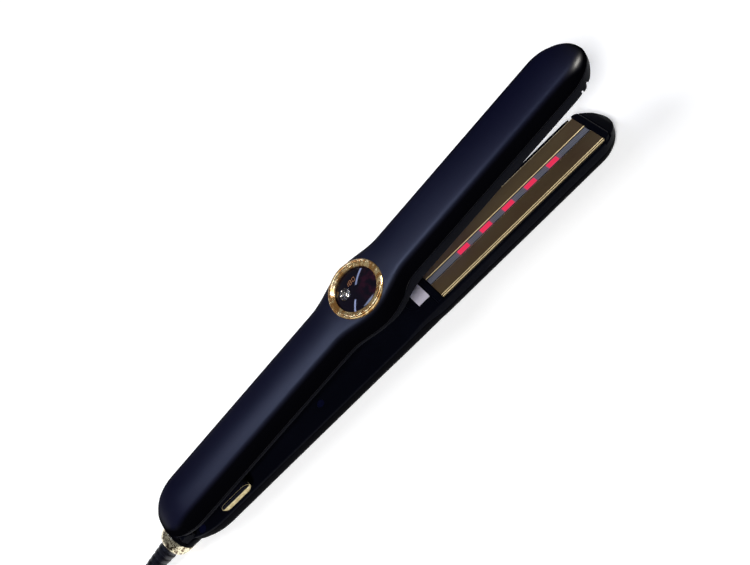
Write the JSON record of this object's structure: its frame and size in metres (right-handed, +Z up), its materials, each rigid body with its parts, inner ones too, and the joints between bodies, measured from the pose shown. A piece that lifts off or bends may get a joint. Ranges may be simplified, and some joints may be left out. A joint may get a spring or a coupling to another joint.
{
  "type": "hair straightener",
  "caption": "Hair straightener with two hinged arms, floating heating plates, lamp strip, round dial with power button, slide lock and swivelling mains cord.",
  "frame": {"origin": "on the supporting surface, under the middle of the object without its free cord", "axes": "+X from the cord end to the tip of the arms, +Y across the arms, +Z up; the lower arm lies along X on its outer face"},
  "size_m": [0.4819, 0.0645, 0.0721],
  "materials": {
    "upper_casing": "soft-touch matte, deep navy black",
    "lower_casing": "satin black",
    "lower_frame": "fine-textured black",
    "upper_frame": "satin grey-violet black",
    "carrier": "satin heat-resistant plastic, dark navy",
    "cushion": "silicone rubber",
    "screw": "plain steel",
    "screw_cap": "satin dark blue-black",
    "label": "blank white film",
    "steel": "spring steel",
    "board": "green solder mask",
    "component": "black moulded components",
    "lead": "silicone-covered wire",
    "socket": "natural nylon",
    "gold": "polished pale gold plating",
    "cord": "black vinyl sheath",
    "tie": "black woven strap",
    "plug": "moulded black vinyl",
    "pin": "nickel-plated brass",
    "plate": "satin bronze ceramic coating over aluminium",
    "lens": "frosted bluish-grey strip",
    "lamp": "glowing red windows",
    "ceramic": "ceramic heater",
    "tray": "folded sheet",
    "dial_glass": "domed dark acrylic",
    "button": "polished silver",
    "lock": "satin black",
    "bush": "black acetal",
    "relief": "ribbed black vinyl"
  },
  "bodies": {
    "lower_arm": {"lower_shell": "lower_casing", "lower_frame": "lower_frame", "lower_carrier": "carrier", "lower_cushions": "cushion", "lower_screws": "screw", "lower_screw_caps": "screw_cap", "sticker": "label", "hinge_pin": "steel", "hinge_caps": "screw_cap", "hinge_spring": "steel", "power_board": "board", "power_parts": "component", "lower_leads": "lead", "hinge_leads": "lead", "cord_socket": "socket", "cord_collar": "gold", "cord_lead": "cord", "cord_hank": "cord", "cord_tail": "cord", "cord_tie": "tie", "plug_body": "plug", "plug_pins": "pin"},
    "lower_plates": {"lower_plate_near": "plate", "lower_plate_far": "plate", "lamp_lens": "lens", "lamp_board": "board", "lamps": "lamp", "lower_heaters": "ceramic", "lower_heater_tray": "tray", "thermal_fuse": "component"},
    "upper_arm": {"upper_shell": "upper_casing", "upper_frame": "upper_frame", "upper_carrier": "upper_frame", "upper_cushions": "cushion", "upper_screws": "screw", "upper_screw_caps": "screw_cap", "lock_catch": "steel", "dial_ring": "gold", "dial_glass": "dial_glass", "display_board": "board", "display_parts": "component", "upper_leads": "lead"},
    "upper_plates": {"upper_plate": "plate", "upper_heater": "ceramic", "upper_heater_tray": "tray", "heat_sensor": "component"},
    "power_button": {"power_button": "button"},
    "lock": {"lock_slider": "lock", "lock_cap_near": "gold", "lock_cap_far": "gold"},
    "cord_swivel": {"swivel_bush": "bush", "strain_relief": "relief"}
  },
  "joints": [
    {"name": "arm_hinge", "type": "hinge", "parent": "lower_arm", "child": "upper_arm", "pos_m": [-0.12882, 0, 0.0168], "axis": [0, 1, 0], "range_deg": [0, 7.9], "stiffness_Nm_per_rad": 1, "springref_deg": -20.05, "deforming": ["hinge_spring", "hinge_leads"]},
    {"name": "lower_plate_float", "type": "slide", "parent": "lower_arm", "child": "lower_plates", "axis": [0, 0, -1], "range_m": [0, 0.0008], "stiffness_N_per_m": 2500, "springref_m": -0.0004, "deforming": ["lower_cushions"]},
    {"name": "upper_plate_float", "type": "slide", "parent": "upper_arm", "child": "upper_plates", "axis": [-0.1374, 0, 0.9905], "range_m": [0, 0.0008], "stiffness_N_per_m": 2500, "springref_m": -0.0004, "deforming": ["upper_cushions"]},
    {"name": "power_press", "type": "slide", "parent": "upper_arm", "child": "power_button", "axis": [0.1374, 0, -0.9905], "range_m": [0, 0.0006], "stiffness_N_per_m": 900, "springref_m": -0.0006},
    {"name": "lock_slide", "type": "slide", "parent": "lower_arm", "child": "lock", "axis": [1, 0, 0], "range_m": [0, 0.004]},
    {"name": "cord_turn", "type": "hinge", "parent": "lower_arm", "child": "cord_swivel", "pos_m": [-0.13442, 0, 0.0093], "axis": [-0.9864, 0, -0.1644], "continuous": true}
  ]
}
